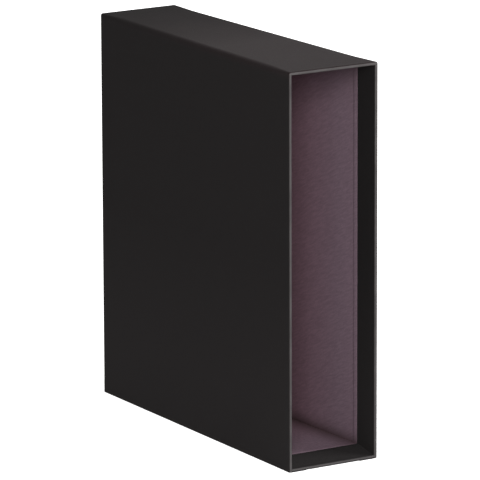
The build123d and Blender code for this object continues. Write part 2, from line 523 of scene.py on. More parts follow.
@dataclass
class BackCover:
    """The black sheet laid over the flaps on the back, with its middle turned under the base."""

    plan: CasePlan
    material: bpy.types.Material
    nose_radius: float = 0.0005
    soft_edge: float = 0.0012
    support: float = 0.0005
    nose_steps: int = 5
    down_steps: int = 16
    tab_steps: int = 3

    @property
    def tab_x(self) -> float:
        """Half the width of the tab turned under the base, between the flaps."""
        return self.plan.half_width(self.plan.back_y) - self.plan.flap

    @property
    def flap_z(self) -> float:
        """The lower edge of the flap turned down from the top."""
        return self.plan.high_z - self.plan.flap

    def columns(self) -> list[float]:
        """Lay out the places across the sheet, closer together over the edges of the flaps.

        Returns:
            The places, from the near side to the far side.
        """
        outer, tab = self.plan.back_sheet_x, self.tab_x
        steps = [tab * share for share in (0.0, *THIRDS[:2])]
        steps += [tab - self.soft_edge * share for share in (*reversed(QUARTERS), 0.0)]
        steps += [between(tab, outer, 0.5), outer - self.support, outer]
        return [-step for step in reversed(steps[1:])] + steps

    def heights(self) -> list[float]:
        """Lay out the places down the back, closer together over the edge of the top's flap.

        Returns:
            The heights, from the sheet's top edge to the top of its tab.
        """
        high = self.plan.high_z - self.plan.sheet_margin
        low = self.plan.wrap_low_z + self.plan.sheet_margin
        steps = [high, high - self.support, between(high, self.flap_z, 0.5), self.flap_z]
        steps += [self.flap_z - self.soft_edge * share for share in QUARTERS]
        first = steps[-1]
        down = [step / self.down_steps for step in range(1, self.down_steps + 1)]
        return steps + [between(first, low + self.support, share) for share in down] + [low]

    def sunk(self, x: float, z: float) -> float:
        """How far the sheet sinks where no flap lies under it.

        Args:
            x: Place across the back.
            z: Height.

        Returns:
            The depth, a sheet's thickness at most.
        """
        across = 1.0 - soft_step(abs(x), self.tab_x - self.soft_edge, self.tab_x)
        upward = 1.0 - soft_step(z, self.flap_z - self.soft_edge, self.flap_z)
        return self.plan.paper * across * upward

    def skin(self, depth: float) -> list[list[Vector]]:
        """Lay out one skin, from the top edge down the back and under the base.

        Args:
            depth: How far it lies under the sheet's visible skin.

        Returns:
            Its rows of points.
        """
        plan = self.plan
        back = plan.back_y - depth
        rows = [[Vector((x, back - self.sunk(x, z), z)) for x in self.columns()] for z in self.heights()]
        sunk_back = back - plan.paper
        low = plan.wrap_low_z + depth
        turn = path_points(
            [(sunk_back, self.heights()[-1]), (sunk_back, low), (plan.back_y - plan.flap, low)],
            [self.nose_radius - depth],
            [[], shares(self.tab_steps, plan.flap, self.support)],
            [self.nose_steps],
        )
        held = [min(max(x, -self.tab_x), self.tab_x) for x in self.columns()]
        return rows + [[Vector((x, y, z)) for x in held] for y, z in turn[1:]]

    def build(self) -> bpy.types.Object:
        """Build the sheet and let it stand for its solid.

        Returns:
            The piece.
        """
        skin, glued = self.skin(0.0), self.skin(self.plan.paper)
        sheet_rows = len(self.heights()) - 1
        columns = self.columns()
        highlight_share = [[0.0] * len(columns) for _ in skin]

        def present(row: int, column: int) -> bool:
            """Below the sheet's lower edge only the tab goes on."""
            middle = (columns[column] + columns[column + 1]) / 2
            return row < sheet_rows or abs(middle) < self.tab_x

        piece = PaperSheet("back_cover_sheet", skin, glued, highlight_share, present, self.material).build()
        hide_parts("back_cover")
        return piece


@dataclass
class BaseCover:
    """The black sheet under the base, round the sill and up the bevel into the bay."""

    plan: CasePlan
    material: bpy.types.Material
    nose_radius: float = 0.0011
    # Where the highlight is painted across the sill's front, partly real rubbing
    worn_highlight_from: float = 0.0016
    worn_highlight_to: float = 0.0026
    worn_highlight_fade: float = 0.0004
    bevel_rounding: float = 0.0015
    bevel_length: float = 0.019
    soft_edge: float = 0.0012
    support: float = 0.0005
    nose_steps: int = 5
    base_steps: int = 20
    bevel_steps: int = 3

    @property
    def rear_y(self) -> float:
        """The sheet's edge at the back."""
        return self.plan.wrap_back_y - self.plan.sheet_margin

    @property
    def flap_y(self) -> float:
        """The edge of the tab turned under the base from the back."""
        return self.plan.back_y - self.plan.flap

    def insets(self) -> list[float]:
        """How far each line of points runs in from the side, up to the middle part."""
        plan = self.plan
        outer = [plan.sheet_margin, plan.turned_inset, between(plan.turned_inset, plan.flap, 0.5)]
        return outer + [plan.flap + self.soft_edge * share for share in (0.0, *THIRDS)]

    def across(self, y: float) -> list[float]:
        """Lay out the places across the sheet, which at the mouth covers the whole end of the board.

        Args:
            y: Place along the depth.

        Returns:
            The places, from the near side to the far side.
        """
        insets = self.insets()
        front = 1.0 - soft_step(y, self.plan.mouth_y, self.plan.mouth_y + self.nose_radius)
        insets[1] -= self.plan.paper * front
        side = [self.plan.half_width(y, inset) for inset in insets]
        return [-x for x in side] + [-side[-1] / 3, side[-1] / 3] + side[::-1]

    def sunk(self, column: int, y: float) -> float:
        """How far the sheet rises where no flap lies over it.

        Args:
            column: The line of points.
            y: Place along the depth.

        Returns:
            The rise, a sheet's thickness at most.
        """
        insets = self.insets()
        inset = (insets + [insets[-1]] * 2 + insets[::-1])[column]
        inward = soft_step(inset, self.plan.flap, self.plan.flap + self.soft_edge)
        forward = 1.0 - soft_step(y, self.flap_y - self.soft_edge, self.flap_y)
        return self.plan.paper * inward * forward

    def base_shares(self) -> list[float]:
        """Lay out the rows under the base, closer together over the edge of the back's tab.

        Returns:
            Shares of the way from the back edge to the mouth.
        """
        length = self.rear_y - self.plan.mouth_y
        base = [self.support / length, (self.rear_y - self.flap_y) / length]
        base += [(self.rear_y - self.flap_y + self.soft_edge * share) / length for share in THIRDS]
        last = (length - self.plan.sheet_margin) / length
        onward = [step / self.base_steps for step in range(1, self.base_steps + 1)]
        return base + [between(base[-1], last, share) for share in onward]

    def line(self, column: int, depth: float) -> list[PlanePoint]:
        """Follow one line of points from the back edge, round the sill and up the bevel.

        Args:
            column: The line of points.
            depth: How far it lies under the sheet's visible skin.

        Returns:
            Place along the depth of the case and height of each point.
        """
        plan = self.plan
        low = self.sunk(column, plan.mouth_y) + depth
        sill_z = plan.bay_low_z + plan.paper - depth
        raised_z = plan.floor_z + plan.paper - depth
        nose = self.nose_radius - depth
        return path_points(
            [
                (self.rear_y, low),
                (plan.mouth_y + depth, low),
                (plan.mouth_y + depth, sill_z),
                (plan.bevel_low_y, sill_z),
                (plan.bevel_high_y, raised_z),
                (plan.turn_in_y, raised_z),
            ],
            [nose, nose, self.bevel_rounding / 2, self.bevel_rounding],
            [
                self.base_shares(),
                [0.5],
                [0.5],
                shares(self.bevel_steps, self.bevel_length, self.support),
                [0.5],
            ],
            [self.nose_steps, self.nose_steps, self.bevel_steps, self.bevel_steps],
        )

    def skin(self, depth: float) -> list[list[Vector]]:
        """Lay out one skin, from the back edge, under the base, round the sill and up the bevel.

        Args:
            depth: How far it lies under the sheet's visible skin.

        Returns:
            Its rows of points.
        """
        base_rows = len(self.base_shares()) + 1
        lines = [self.line(column, depth) for column in range(len(self.across(0.0)))]
        rows = []
        for row, spots in enumerate(zip(*lines)):
            points = []
            for column, (y, z) in enumerate(spots):
                height = depth + self.sunk(column, y) if row < base_rows else z
                points.append(Vector((self.across(y)[column], y, height)))
            rows.append(points)
        return rows

    def worn_highlight_at(self, point: Vector) -> float:
        """How much painted highlight, partly real rubbing, a point takes: fully along the upper half of the
        sill's front.
        """
        front = 1.0 - soft_step(point.y, self.plan.mouth_y, self.plan.mouth_y + self.nose_radius)
        return front * band(point.z, self.worn_highlight_from, self.worn_highlight_to, self.worn_highlight_fade)

    def build(self) -> bpy.types.Object:
        """Build the sheet and let it stand for its solid.

        Returns:
            The piece.
        """
        skin, glued = self.skin(0.0), self.skin(self.plan.paper)
        highlight_share = [[self.worn_highlight_at(point) for point in row] for row in skin]
        base_rows = len(self.base_shares())
        last = len(skin[0]) - 2

        def present(row: int, column: int) -> bool:
            """At the mouth the sheet is narrower, to go in between the turned-in sides."""
            return row < base_rows or 0 < column < last

        piece = PaperSheet("base_cover_sheet", skin, glued, highlight_share, present, self.material).build()
        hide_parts("base_cover")
        return piece


# Finishes

# How the paper's fibres and streaks are turned and drawn out
FIBRE_TURNS = ((0.4, 0.2, 0.9), (1.3, 1.1, 2.2), (2.3, 0.7, 0.3))
FIBRE_STRETCH = (1.0, 4.5, 4.5)
STREAK_STRETCH = (1.0, 0.16, 1.0)

# The part of each noise that is spread from 0 to 1
CLOUDING_RANGE = (0.3, 0.7)
FIBRE_RANGE = (0.42, 0.75)
STREAK_RANGE = (0.32, 0.68)
PATCH_RANGE = (0.35, 0.7)
SPECK_RANGE = (0.45, 0.75)
DRIFT_RANGE = (0.3, 0.75)

# How much dust lies between the drifts and in them, and on how steep a face it stays
DRIFTED = (0.2, 1.0)
FACING_UP = (0.3, 0.95)


@dataclass
class Wiring:
    """A node tree with short calls that add and join its nodes."""

    tree: bpy.types.NodeTree

    def add(self, kind: str, inputs: dict | None = None, **settings: object) -> bpy.types.Node:
        """Add a node, set its options and join or set its inputs.

        Args:
            kind: The node's type.
            inputs: Sockets to join to or plain values to set, by input name or number.
            settings: The node's own options.

        Returns:
            The new node.
        """
        node = self.tree.nodes.new(kind)
        for option, value in settings.items():
            setattr(node, option, value)
        for name, value in (inputs or {}).items():
            self.feed(node.inputs[name], value)
        return node

    def feed(self, socket: Socket, value: object) -> None:
        """Join a socket to another, or set its value.

        Args:
            socket: The input to feed.
            value: The output to join it to, or a plain value.
        """
        if isinstance(value, bpy.types.NodeSocket):
            self.tree.links.new(value, socket)
        else:
            socket.default_value = value

    def math(self, operation: str, *values: object) -> Socket:
        """One sum of numbers or sockets."""
        return self.add("ShaderNodeMath", dict(enumerate(values)), operation=operation).outputs[0]

    def product(self, *factors: object) -> Socket:
        """Numbers or sockets multiplied one after the other."""
        return reduce(lambda made, factor: self.math("MULTIPLY", made, factor), factors)

    def rest_of(self, share: object) -> Socket:
        """What a share leaves of 1."""
        return self.math("SUBTRACT", 1.0, share)

    def vector(self, operation: str, *values: object) -> Socket:
        """One sum of vectors."""
        return self.add("ShaderNodeVectorMath", dict(enumerate(values)), operation=operation).outputs[0]

    def scaled(self, vector: object, factor: object) -> Socket:
        """A vector made longer or shorter."""
        return self.add("ShaderNodeVectorMath", {0: vector, "Scale": factor}, operation="SCALE").outputs[0]

    def split(self, vector: object) -> Outputs:
        """The three parts of a vector."""
        return self.add("ShaderNodeSeparateXYZ", {0: vector}).outputs

    def mix_colour(self, share: object, first: object, second: object, blend: str = "MIX") -> Socket:
        """A colour between two, or the first with the second blended into it."""
        inputs = {0: share, 6: first, 7: second}
        return self.add("ShaderNodeMix", inputs, data_type="RGBA", blend_type=blend).outputs[2]

    def mix_vector(self, share: object, first: object, second: object) -> Socket:
        """A vector between two."""
        return self.add("ShaderNodeMix", {0: share, 4: first, 5: second}, data_type="VECTOR").outputs[1]

    def remap(self, value: object, low: object, high: object, onto: tuple = (0.0, 1.0)) -> Socket:
        """A value moved from one range onto another, and held inside it."""
        inputs = {0: value, 1: low, 2: high, 3: onto[0], 4: onto[1]}
        return self.add("ShaderNodeMapRange", inputs).outputs[0]

    def spread(self, share: object, low: object, high: object) -> Socket:
        """The value at a share of the way from low to high."""
        return self.remap(share, 0.0, 1.0, (low, high))

    def noise(self, place: object, size: object, detail: float, more: dict | None = None) -> Socket:
        """Noise in patches of about one size."""
        inputs = {"Vector": place, "Scale": self.math("DIVIDE", 1.0, size), "Detail": detail}
        return self.add("ShaderNodeTexNoise", inputs | (more or {})).outputs[0]

    def attribute(self, name: str) -> Socket:
        """A value stored on the points of a mesh."""
        return self.add("ShaderNodeAttribute", attribute_name=name).outputs["Fac"]

    def effect(self, tree: bpy.types.NodeTree, inputs: dict) -> Outputs:
        """A shared effect, placed with its own values."""
        return self.add("ShaderNodeGroup", inputs, node_tree=tree).outputs


def new_group(
    name: str, takes: dict[str, float | tuple[float, ...]], gives: tuple[str, ...]
) -> tuple[Wiring, Outputs, Inputs]:
    """Start a shader node group with named sockets.

    Args:
        name: The group's name.
        takes: For each input its value, a number or three numbers.
        gives: The name of each output, which is a number.

    Returns:
        Its wiring, what it is given, and the sockets of its result.
    """
    tree = bpy.data.node_groups.new(name, "ShaderNodeTree")
    for socket_name, value in takes.items():
        kind = "NodeSocketVector" if isinstance(value, tuple) else "NodeSocketFloat"
        tree.interface.new_socket(socket_name, in_out="INPUT", socket_type=kind).default_value = value
    for socket_name in gives:
        tree.interface.new_socket(socket_name, in_out="OUTPUT", socket_type="NodeSocketFloat")
    wiring = Wiring(tree)
    return wiring, wiring.add("NodeGroupInput").outputs, wiring.add("NodeGroupOutput").inputs


@dataclass(frozen=True)
class SharedEffects:
    """The effects that several finishes use, each built once."""

    fibres: bpy.types.NodeTree
    worn_highlight_mask: bpy.types.NodeTree
    dust: bpy.types.NodeTree

    @classmethod
    def build(cls) -> "SharedEffects":
        """Build every shared effect."""
        return cls(cls.build_fibres(), cls.build_worn_highlight(), cls.build_dust())

    @staticmethod
    def build_fibres() -> bpy.types.NodeTree:
        """Build the felted fibres, soft clouding and slanting streaks of a paper or board.

        Returns:
            The group.
        """
        wiring, given, result = new_group(
            "paper fibres",
            {"Vector": ORIGIN, "Clouding size": 0.0016, "Fibre length": 0.0012}
            | {"Streak width": 0.0015, "Streak slant": (0.43, 0.0, 0.0)},
            ("Clouding", "Fibres", "Streaks"),
        )
        place = given["Vector"]
        cloud = wiring.noise(place, given["Clouding size"], 3.0, {"Roughness": 0.6})
        strands = []
        for turn in FIBRE_TURNS:
            drawn_out = {"Vector": place, "Rotation": turn, "Scale": FIBRE_STRETCH}
            turned = wiring.add("ShaderNodeMapping", drawn_out).outputs[0]
            strands.append(wiring.noise(turned, given["Fibre length"], 1.0, {"Distortion": 0.6}))
        lines = reduce(lambda made, strand: wiring.math("MAXIMUM", made, strand), strands)
        slant = {"Vector": place, "Rotation": given["Streak slant"]}
        slanted = wiring.add("ShaderNodeVectorRotate", slant, rotation_type="EULER_XYZ").outputs[0]
        drawn = wiring.add("ShaderNodeMapping", {"Vector": slanted, "Scale": STREAK_STRETCH}).outputs[0]
        streaks = wiring.noise(drawn, given["Streak width"], 2.0, {"Distortion": 0.4})
        wiring.feed(result["Streaks"], wiring.remap(streaks, *STREAK_RANGE))
        wiring.feed(result["Clouding"], wiring.remap(cloud, *CLOUDING_RANGE))
        wiring.feed(result["Fibres"], wiring.remap(lines, *FIBRE_RANGE))
        return wiring.tree

    @staticmethod
    def build_worn_highlight() -> bpy.types.NodeTree:
        """Build the mask of the painted highlight, partly real rubbing, along the board ends, broken up so
        that it isn't even.

        Returns:
            The group.
        """
        wiring, given, result = new_group(
            "edge wear and painted highlight",
            {"Vector": ORIGIN, "Worn highlight": 0.0, "Patch size": 0.012, "Unevenness": 0.3},
            ("Mask",),
        )
        patches = wiring.noise(given["Vector"], given["Patch size"], 4.0)
        loss = wiring.product(wiring.remap(patches, *PATCH_RANGE), given["Unevenness"])
        wiring.feed(result["Mask"], wiring.product(given["Worn highlight"], wiring.rest_of(loss)))
        return wiring.tree

    @staticmethod
    def build_dust() -> bpy.types.NodeTree:
        """Build the fine dust that lies on faces turned up.

        Returns:
            The group.
        """
        wiring, given, result = new_group(
            "settled dust",
            {"Vector": ORIGIN, "Amount": 0.1, "Speck size": 0.0008, "Drift size": 1 / 18},
            ("Mask",),
        )
        facing = wiring.split(wiring.add("ShaderNodeNewGeometry").outputs["Normal"])
        upward = wiring.remap(facing["Z"], *FACING_UP)
        specks = wiring.noise(given["Vector"], given["Speck size"], 2.0)
        drifts = wiring.noise(given["Vector"], given["Drift size"], 3.0)
        speckled = wiring.remap(specks, *SPECK_RANGE)
        drifted = wiring.remap(drifts, *DRIFT_RANGE, DRIFTED)
        wiring.feed(result["Mask"], wiring.product(speckled, drifted, upward, given["Amount"]))
        return wiring.tree


@dataclass(frozen=True, kw_only=True)
class Finish(ABC):
    """What every finish of the case has in common."""

    effects: SharedEffects
    name: str
    colour: Colour
    darkest: float
    lightest: float
    roughness: float
    specular: float
    clouding_size: float
    fibre_length: float
    relief: float
    relief_height: float
    sheen: Colour = WHITE

    @abstractmethod
    def paint(self, wiring: Wiring, place: Socket, fibres: Outputs) -> tuple[Socket, Socket, Socket]:
        """Make what changes over the surface.

        Args:
            wiring: The material's wiring.
            place: The object's own coordinates.
            fibres: The clouding, fibres and streaks of this finish.

        Returns:
            The colour, the roughness and the height of the relief.
        """

    def build(self) -> bpy.types.Material:
        """Build the material, with what is the same all over on the shader's own sockets.

        Returns:
            The material.
        """
        made = bpy.data.materials.new(self.name)
        made.use_nodes = True
        wiring = Wiring(made.node_tree)
        shader = made.node_tree.nodes["Principled BSDF"].inputs
        shader["Specular IOR Level"].default_value = self.specular
        shader["Specular Tint"].default_value = opaque(self.sheen)
        place = wiring.add("ShaderNodeTexCoord").outputs["Object"]
        fibres = wiring.effect(
            self.effects.fibres,
            {"Vector": place, "Clouding size": self.clouding_size, "Fibre length": self.fibre_length},
        )
        colour, roughness, height = self.paint(wiring, place, fibres)
        relief = {"Strength": self.relief, "Distance": self.relief_height, "Height": height}
        wiring.feed(shader["Base Color"], colour)
        wiring.feed(shader["Roughness"], roughness)
        wiring.feed(shader["Normal"], wiring.add("ShaderNodeBump", relief).outputs[0])
        return made

    def clouded(self, wiring: Wiring, share: Socket) -> Socket:
        """The finish's colour, from its darkest to its lightest."""
        dark, light = opaque(self.colour, self.darkest), opaque(self.colour, self.lightest)
        return wiring.mix_colour(share, dark, light)


@dataclass(frozen=True, kw_only=True)
class CoverPaperFinish(Finish):
    """Smooth matt black covering paper, with a highlight painted lighter on the board ends, partly real
    rubbing.
    """

    name: str = "cover_paper"
    colour: Colour = from_srgb(26.8, 25.6, 25.7)
    darkest: float = 0.94
    lightest: float = 1.06
    roughness: float = 0.8
    specular: float = 0.035
    sheen: Colour = (1.0, 0.84, 0.85)
    clouding_size: float = 0.0022
    fibre_length: float = 0.0016
    relief: float = 0.2
    relief_height: float = 0.00003
    grain: float = 0.03
    # Colour of the highlight painted on the board ends, partly real rubbing
    worn_highlight_colour: Colour = from_srgb(68, 66, 66)
    burnished_roughness: float = 0.56
    top_z: float
    top_blend: float = 0.006
    burnish_start: float = 0.15
    burnish_full: float = -0.03
    # Pink tint painted on the front of the top, standing in for the colour of its reflection
    top_reflection_tint: Colour = (1.0, 0.76, 0.79)
    # Bounce light from the floor, painted as paper lighter low down, unevenly
    bounce_lit: float = 1.35
    bounce_from: float = 0.17
    bounce_full: float = 0.05
    least_bounce: float = 0.75
    dust_amount: float = 0.05
    dust: Colour = (0.25, 0.24, 0.23)

    def paint(self, wiring: Wiring, place: Socket, fibres: Outputs) -> tuple[Socket, Socket, Socket]:
        """Paint bounce light on the paper low down, burnish the top's front and paint its reflection's tint
        there, paint a highlight on its ends, partly real rubbing, and dust it.

        Args:
            wiring: The material's wiring.
            place: The object's own coordinates.
            fibres: The clouding, fibres and streaks of this finish.

        Returns:
            The colour, the roughness and the height of the relief.
        """
        spot = wiring.split(place)
        # Painted bounce light: the paper lighter low down, broken up by the clouding
        low_down = wiring.remap(spot["Z"], self.bounce_from, self.bounce_full)
        bounce_light = wiring.product(low_down, wiring.spread(fibres["Clouding"], self.least_bounce, 1.0))
        paper = self.clouded(wiring, fibres["Clouding"])
        bounce_lit = wiring.mix_colour(bounce_light, paper, opaque(self.colour, self.bounce_lit))
        on_top = wiring.remap(spot["Z"], self.top_z - self.top_blend, self.top_z)
        burnished = wiring.product(on_top, wiring.remap(spot["Y"], self.burnish_start, self.burnish_full))
        # Pink tint painted on the front of the top as its reflection's colour
        reflection_tinted = wiring.mix_colour(burnished, bounce_lit, opaque(self.top_reflection_tint), "MULTIPLY")
        # Highlight painted lighter along the board ends, partly real rubbing
        worn_highlight_mask = wiring.effect(self.effects.worn_highlight_mask, {"Vector": place, "Worn highlight": wiring.attribute(WORN_HIGHLIGHT)})
        highlight_share = wiring.mix_colour(worn_highlight_mask["Mask"], reflection_tinted, opaque(self.worn_highlight_colour))
        dust = wiring.effect(self.effects.dust, {"Vector": place, "Amount": self.dust_amount})
        dusty = wiring.mix_colour(dust["Mask"], highlight_share, opaque(self.dust))
        handled = wiring.spread(burnished, self.roughness, self.burnished_roughness)
        grain = wiring.spread(fibres["Fibres"], -self.grain, self.grain)
        return dusty, wiring.math("ADD", handled, grain), fibres["Fibres"]


@dataclass(frozen=True, kw_only=True)
class LiningPaperFinish(Finish):
    """Mauve-brown lining paper with a felted grain, with painted shade: darker and redder deeper in the
    bay, and dark in the corners.
    """

    name: str = "lining_paper"
    colour: Colour = from_srgb(101, 84.5, 94)
    darkest: float = 0.79
    lightest: float = 1.21
    roughness: float = 0.85
    specular: float = 0.1
    clouding_size: float = 0.0016
    fibre_length: float = 0.0012
    relief: float = 0.5
    relief_height: float = 0.00008
    grain: float = 0.05
    # Colour of the shade painted in the corners and under the ceiling
    painted_shade: Colour = from_srgb(55, 41, 43)
    # Darker, redder tone painted as shade deeper in the bay, reached between the two places along the depth
    # below
    deep_shade: Colour = from_srgb(97, 67, 75)
    shade_start_y: float = -0.1
    shade_full_y: float = 0.0
    streaked: float = 0.6
    strand: float = 1.3
    stranded: float = 0.25

    def paint(self, wiring: Wiring, place: Socket, fibres: Outputs) -> tuple[Socket, Socket, Socket]:
        """Streak the paper, lay pale strands on it, and paint shade on it, deeper in the bay and in the
        corners.

        Args:
            wiring: The material's wiring.
            place: The object's own coordinates.
            fibres: The clouding, fibres and streaks of this finish.

        Returns:
            The colour, the roughness and the height of the relief.
        """
        # Painted shade: darker and redder deeper in the bay
        deep_shade = wiring.remap(wiring.split(place)["Y"], self.shade_start_y, self.shade_full_y)
        dark, light = (
            wiring.mix_colour(deep_shade, opaque(self.colour, factor), opaque(self.deep_shade, factor))
            for factor in (self.darkest, self.lightest)
        )
        mottling = wiring.math(
            "ADD",
            wiring.product(fibres["Streaks"], self.streaked),
            wiring.product(fibres["Clouding"], 1.0 - self.streaked),
        )
        mottled = wiring.mix_colour(mottling, dark, light)
        strands = wiring.product(fibres["Fibres"], self.stranded)
        papered = wiring.mix_colour(strands, mottled, opaque(self.colour, self.strand))
        # Shade painted in the corners and under the ceiling
        shaded = wiring.mix_colour(wiring.attribute(CORNER_SHADE), papered, opaque(self.painted_shade))
        rough = wiring.spread(fibres["Clouding"], self.roughness - self.grain, self.roughness + self.grain)
        return shaded, rough, mottling


@dataclass(frozen=True, kw_only=True)
class GreyBoardFinish(Finish):
    """Dense grey board, pressed from waste paper, with pale and dark flecks."""

    name: str = "grey_board"
    colour: Colour = from_srgb(154, 147, 136)
    darkest: float = 0.88
    lightest: float = 1.1
    roughness: float = 0.89
    specular: float = 0.2
    clouding_size: float = 0.004
    fibre_length: float = 0.0022
    relief: float = 0.4
    relief_height: float = 0.00006
    grain: float = 0.05
    pale_fleck: Colour = from_srgb(205, 200, 190)
    dark_fleck: Colour = from_srgb(88, 84, 80)
    fleck_size: float = 0.0011
    pale_from: float = 0.64
    pale_full: float = 0.7
    palest: float = 0.7
    dark_from: float = 0.36
    dark_full: float = 0.3
    deepest: float = 0.6

    def paint(self, wiring: Wiring, place: Socket, fibres: Outputs) -> tuple[Socket, Socket, Socket]:
        """Strew flecks over the clouded board.

        Args:
            wiring: The material's wiring.
            place: The object's own coordinates.
            fibres: The clouding, fibres and streaks of this finish.

        Returns:
            The colour, the roughness and the height of the relief.
        """
        flecks = wiring.noise(place, self.fleck_size, 2.0)
        pale = wiring.remap(flecks, self.pale_from, self.pale_full, (0.0, self.palest))
        dark = wiring.remap(flecks, self.dark_from, self.dark_full, (0.0, self.deepest))
        board = self.clouded(wiring, fibres["Clouding"])
        flecked = wiring.mix_colour(pale, board, opaque(self.pale_fleck))
        colour = wiring.mix_colour(dark, flecked, opaque(self.dark_fleck))
        rough = wiring.spread(fibres["Fibres"], self.roughness - self.grain, self.roughness + self.grain)
        return colour, rough, fibres["Fibres"]


@dataclass(frozen=True, kw_only=True)
class GummedTapeFinish(Finish):
    """Brown gummed paper tape, with fine ribs from its making and long fibres."""

    name: str = "stay_tape"
    colour: Colour = from_srgb(168, 134, 92)
    darkest: float = 0.86
    lightest: float = 1.08
    roughness: float = 0.7
    specular: float = 0.3
    clouding_size: float = 0.003
    fibre_length: float = 0.003
    relief: float = 0.4
    relief_height: float = 0.00005
    grain: float = 0.08
    rib_spacing: float = 0.0012
    ribbed: float = 0.4
    strand: float = 1.35
    stranded: float = 0.4

    def paint(self, wiring: Wiring, place: Socket, fibres: Outputs) -> tuple[Socket, Socket, Socket]:
        """Lay ribs and pale strands on the clouded tape.

        Args:
            wiring: The material's wiring.
            place: The object's own coordinates.
            fibres: The clouding, fibres and streaks of this finish.

        Returns:
            The colour, the roughness and the height of the relief.
        """
        scale = WAVE_LENGTH_AT_SCALE_1 / self.rib_spacing
        ribs = wiring.add(
            "ShaderNodeTexWave",
            {"Vector": place, "Scale": scale, "Distortion": 0.8, "Detail": 1.0},
            bands_direction="DIAGONAL",
        ).outputs["Fac"]
        weave = wiring.math(
            "ADD", wiring.product(ribs, self.ribbed), wiring.product(fibres["Fibres"], 1.0 - self.ribbed)
        )
        tape = self.clouded(wiring, fibres["Clouding"])
        strands = wiring.product(weave, self.stranded)
        colour = wiring.mix_colour(strands, tape, opaque(self.colour, self.strand))
        return colour, wiring.spread(weave, self.roughness - self.grain, self.roughness + self.grain), weave


# Linings, made with Geometry Nodes


class LiningWall(Enum):
    """The walls of the bay that carry a lining."""

    NEAR_SIDE = "near_side_lining"
    FAR_SIDE = "far_side_lining"
    CEILING = "ceiling_lining"
    FLOOR = "floor_lining"
    BACK = "back_lining"


STRIP_INPUTS = {
    "NodeSocketGeometry": ("Geometry",),
    "NodeSocketVector": ("Front low", "Front high", "Rear low", "Rear high", "Off wall"),
    "NodeSocketFloat": ("Lap share", "Softness share", "Lap height", "Thickness", "Ripple", "Ripple size")
    # The reaches and strengths of the shade painted in the corners and under the ceiling
    + ("Shade reach", "Front shade", "High reach", "High shade"),
    "NodeSocketInt": ("Rows", "Columns", "Seed"),
    "NodeSocketMaterial": ("Paper",),
}


